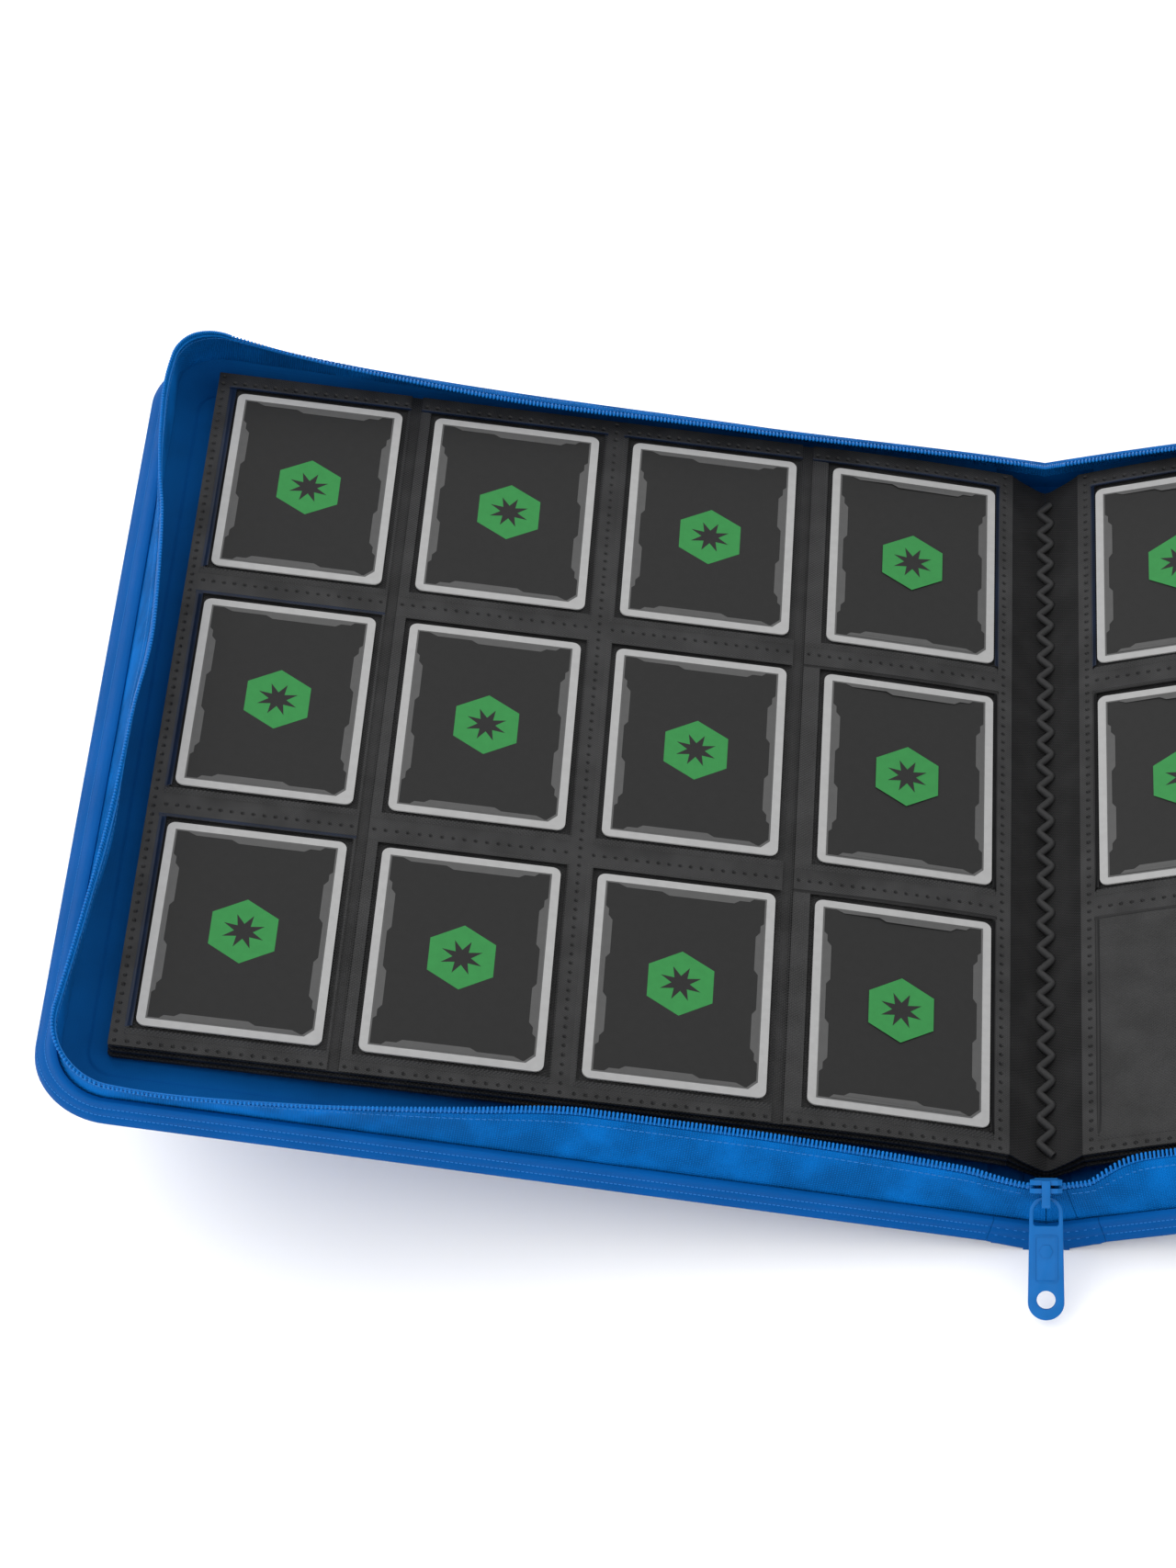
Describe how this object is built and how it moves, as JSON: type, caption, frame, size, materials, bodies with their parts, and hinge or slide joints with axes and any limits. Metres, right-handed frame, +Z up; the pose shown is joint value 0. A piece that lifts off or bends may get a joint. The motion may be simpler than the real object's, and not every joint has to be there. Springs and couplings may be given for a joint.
{
  "type": "trading card binder",
  "caption": "Zip-round trading card binder standing open in a shallow V, with side-loading pocket leaves sewn at the spine, cards, a zip tape wall, slider and pull tab.",
  "frame": {"origin": "middle of the flat underside of the spine, the strip that the open binder stands on", "axes": "+X across the open binder to its right half, +Y along the spine to the rear edge, +Z up"},
  "size_m": [0.6796, 0.3862, 0.1065],
  "materials": {
    "cover_leatherette": "fine pebbled leatherette, semi-matte",
    "lining_cloth": "fine woven lining, matte",
    "zip_tape_cloth": "ribbed woven tape, matte",
    "coil_plastic": "nylon coil, satin",
    "slider_metal": "smooth painted die casting",
    "page_sheet": "embossed polypropylene sheet",
    "pocket_film": "clear film",
    "card_print": "printed card face, satin",
    "seam_thread": "thick sewn cord"
  },
  "bodies": {
    "spine": {"spine_strip": "cover_leatherette", "binding_strip": "page_sheet", "sheet_1_fold": "page_sheet", "sheet_2_fold": "page_sheet", "sheet_3_fold": "page_sheet", "seam_thread": "seam_thread"},
    "left_spine_panel": {"left_spine_panel": "cover_leatherette", "left_front_pleat": "cover_leatherette", "left_rear_pleat": "cover_leatherette"},
    "left_cover": {"left_cover_board": "cover_leatherette", "left_cover_lining": "lining_cloth", "left_side_band": "cover_leatherette", "left_zip_tape": "zip_tape_cloth", "left_zip_coil": "coil_plastic"},
    "left_leaf_3": {"left_leaf_3_sheet": "page_sheet"},
    "left_leaf_2": {"left_leaf_2_sheet": "page_sheet"},
    "left_leaf_1": {"left_leaf_1_sheet": "page_sheet", "left_outer_film": "pocket_film", "left_middle_film": "pocket_film", "left_inner_film": "pocket_film", "left_card_1_1": "card_print", "left_card_1_2": "card_print", "left_card_1_3": "card_print", "left_card_1_4": "card_print", "left_card_2_1": "card_print", "left_card_2_2": "card_print", "left_card_2_3": "card_print", "left_card_2_4": "card_print", "left_card_3_1": "card_print", "left_card_3_2": "card_print", "left_card_3_3": "card_print", "left_card_3_4": "card_print"},
    "right_spine_panel": {"right_spine_panel": "cover_leatherette", "right_front_pleat": "cover_leatherette", "right_rear_pleat": "cover_leatherette"},
    "right_cover": {"right_cover_board": "cover_leatherette", "right_cover_lining": "lining_cloth", "right_side_band": "cover_leatherette", "right_zip_tape": "zip_tape_cloth", "right_zip_coil": "coil_plastic"},
    "right_leaf_3": {"right_leaf_3_sheet": "page_sheet"},
    "right_leaf_2": {"right_leaf_2_sheet": "page_sheet"},
    "right_leaf_1": {"right_leaf_1_sheet": "page_sheet", "right_outer_film": "pocket_film", "right_middle_film": "pocket_film", "right_inner_film": "pocket_film", "right_card_1_1": "card_print", "right_card_1_2": "card_print", "right_card_1_3": "card_print", "right_card_1_4": "card_print", "right_card_2_1": "card_print", "right_card_2_2": "card_print", "right_card_2_3": "card_print", "right_card_2_4": "card_print"},
    "slider": {"slider_body": "slider_metal", "slider_crown": "slider_metal"},
    "pull_tab": {"pull_tab": "slider_metal"}
  },
  "joints": [
    {"name": "left_spine_crease", "type": "hinge", "parent": "spine", "child": "left_spine_panel", "pos_m": [-0.008, 0, 0.00177], "axis": [0, -1, 0], "range_deg": [-3, 13]},
    {"name": "left_cover_crease", "type": "hinge", "parent": "left_spine_panel", "child": "left_cover", "pos_m": [-0.01894, 0, 0.0042], "axis": [0, -1, 0], "range_deg": [-90, 14], "deforming": ["left_zip_tape", "left_zip_coil", "left_front_pleat", "left_rear_pleat", "sheet_1_fold", "sheet_2_fold", "sheet_3_fold", "seam_thread"]},
    {"name": "left_leaf_3_crease", "type": "hinge", "parent": "spine", "child": "left_leaf_3", "pos_m": [-0.0152, 0, 0.0122], "axis": [0, -1, 0], "range_deg": [-79, 13]},
    {"name": "left_leaf_1_crease", "type": "hinge", "parent": "left_leaf_3", "child": "left_leaf_1", "pos_m": [-0.01252, 0, 0.02145], "axis": [0, 1, 0], "range_deg": [0, 90]},
    {"name": "left_leaf_2_crease", "type": "hinge", "parent": "left_leaf_3", "child": "left_leaf_2", "pos_m": [-0.01311, 0, 0.01841], "axis": [0, 1, 0], "range_deg": [0, 31]},
    {"name": "right_spine_crease", "type": "hinge", "parent": "spine", "child": "right_spine_panel", "pos_m": [0.008, 0, 0.00177], "axis": [0, 1, 0], "range_deg": [-3, 13]},
    {"name": "right_cover_crease", "type": "hinge", "parent": "right_spine_panel", "child": "right_cover", "pos_m": [0.01894, 0, 0.0042], "axis": [0, 1, 0], "range_deg": [-90, 14], "deforming": ["right_zip_tape", "right_zip_coil", "right_front_pleat", "right_rear_pleat"]},
    {"name": "right_leaf_3_crease", "type": "hinge", "parent": "spine", "child": "right_leaf_3", "pos_m": [0.0152, 0, 0.0122], "axis": [0, 1, 0], "range_deg": [-79, 13]},
    {"name": "right_leaf_1_crease", "type": "hinge", "parent": "right_leaf_3", "child": "right_leaf_1", "pos_m": [0.01252, 0, 0.02145], "axis": [0, -1, 0], "range_deg": [0, 90]},
    {"name": "right_leaf_2_crease", "type": "hinge", "parent": "right_leaf_3", "child": "right_leaf_2", "pos_m": [0.01311, 0, 0.01841], "axis": [0, -1, 0], "range_deg": [0, 31]},
    {"name": "slider_run", "type": "slide", "parent": "spine", "child": "slider", "axis": [0, 0, -1], "range_m": [-0.28, 0]},
    {"name": "pull_tab_swing", "type": "hinge", "parent": "slider", "child": "pull_tab", "pos_m": [0, -0.1789, 0.0331], "axis": [-1, 0, 0], "range_deg": [-42, 100]}
  ],
  "couplings": [
    {"joint": "left_spine_crease", "follows": "left_cover_crease", "ratio": -0.13889},
    {"joint": "left_leaf_3_crease", "follows": "left_cover_crease", "ratio": 0.87},
    {"joint": "left_leaf_2_crease", "follows": "left_leaf_1_crease", "ratio": 0.33333},
    {"joint": "right_spine_crease", "follows": "right_cover_crease", "ratio": -0.13889},
    {"joint": "right_leaf_3_crease", "follows": "right_cover_crease", "ratio": 0.87},
    {"joint": "right_leaf_2_crease", "follows": "right_leaf_1_crease", "ratio": 0.33333}
  ]
}
